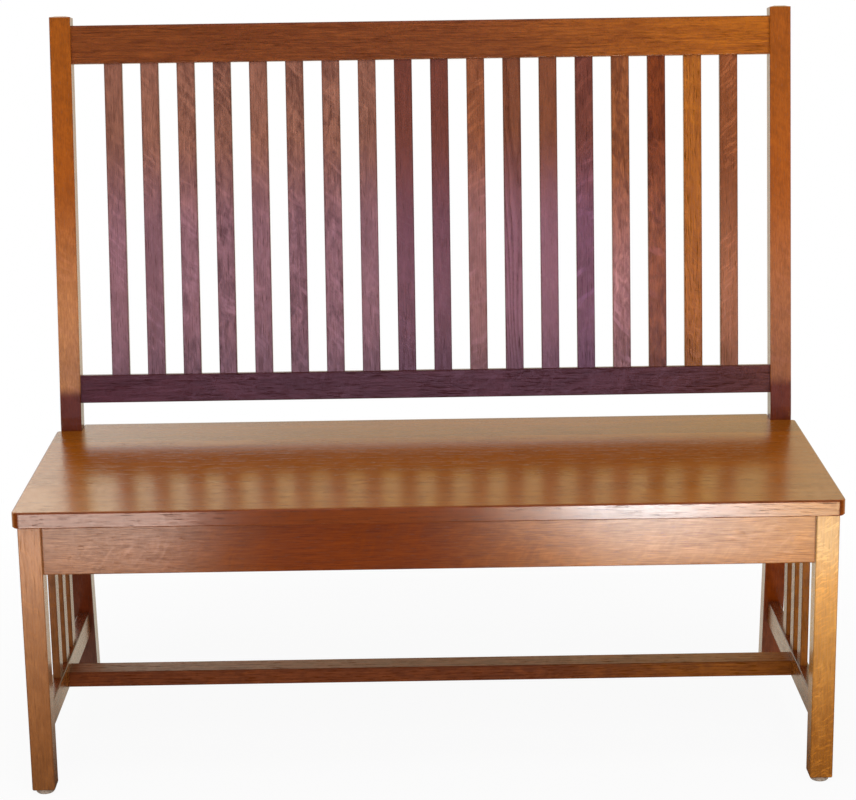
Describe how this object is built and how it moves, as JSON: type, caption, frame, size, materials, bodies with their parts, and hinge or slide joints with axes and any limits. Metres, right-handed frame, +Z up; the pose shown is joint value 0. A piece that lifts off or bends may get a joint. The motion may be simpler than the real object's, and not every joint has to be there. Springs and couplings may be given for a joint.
{
  "type": "mission settle",
  "caption": "High-backed mission settle: flat board seat on square legs, raked back with a row of upright slats between two rails, slatted sides and a low centre stretcher.",
  "frame": {"origin": "on the floor, at the middle of the settle's overall width and depth", "axes": "+X runs along the seat to the sitter's left, which is the right of the picture, +Y from the seat's front edge to the back, +Z up"},
  "size_m": [1.254, 0.6089, 1.1492],
  "materials": {
    "leg_oak": "semi-gloss oiled oak",
    "back_rail_oak": "semi-gloss oiled oak",
    "slat_oak": "semi-gloss oiled quarter-sawn oak",
    "seat_oak": "glossy oiled oak",
    "frame_oak": "semi-gloss oiled oak",
    "hidden_oak": "plain sawn oak",
    "screw_steel": "bright zinc plated",
    "glide_plastic": "matte"
  },
  "bodies": {
    "root": {"back_post_left": "leg_oak", "back_post_right": "leg_oak", "back_slat_01": "slat_oak", "back_slat_02": "slat_oak", "back_slat_03": "slat_oak", "back_slat_04": "slat_oak", "back_slat_05": "slat_oak", "back_slat_06": "slat_oak", "back_slat_07": "slat_oak", "back_slat_08": "slat_oak", "back_slat_09": "slat_oak", "back_slat_10": "slat_oak", "back_slat_11": "slat_oak", "back_slat_12": "slat_oak", "back_slat_13": "slat_oak", "back_slat_14": "slat_oak", "back_slat_15": "slat_oak", "back_slat_16": "slat_oak", "back_slat_17": "slat_oak", "back_slat_18": "slat_oak", "centre_stretcher": "frame_oak", "corner_block_front_left": "hidden_oak", "corner_block_front_right": "hidden_oak", "corner_block_rear_left": "hidden_oak", "corner_block_rear_right": "hidden_oak", "crest_rail": "back_rail_oak", "foot_glides": "glide_plastic", "front_apron": "frame_oak", "front_leg_left": "leg_oak", "front_leg_right": "leg_oak", "lower_back_rail": "back_rail_oak", "rear_apron": "frame_oak", "seat_bearer": "hidden_oak", "seat_board_front": "seat_oak", "seat_board_rear": "seat_oak", "seat_board_second": "seat_oak", "seat_board_third": "seat_oak", "seat_screws": "screw_steel", "side_apron_left": "frame_oak", "side_apron_right": "frame_oak", "side_lower_rail_left": "frame_oak", "side_lower_rail_right": "frame_oak", "side_slat_left_front": "slat_oak", "side_slat_left_middle": "slat_oak", "side_slat_left_rear": "slat_oak", "side_slat_right_front": "slat_oak", "side_slat_right_middle": "slat_oak", "side_slat_right_rear": "slat_oak"}
  },
  "joints": []
}
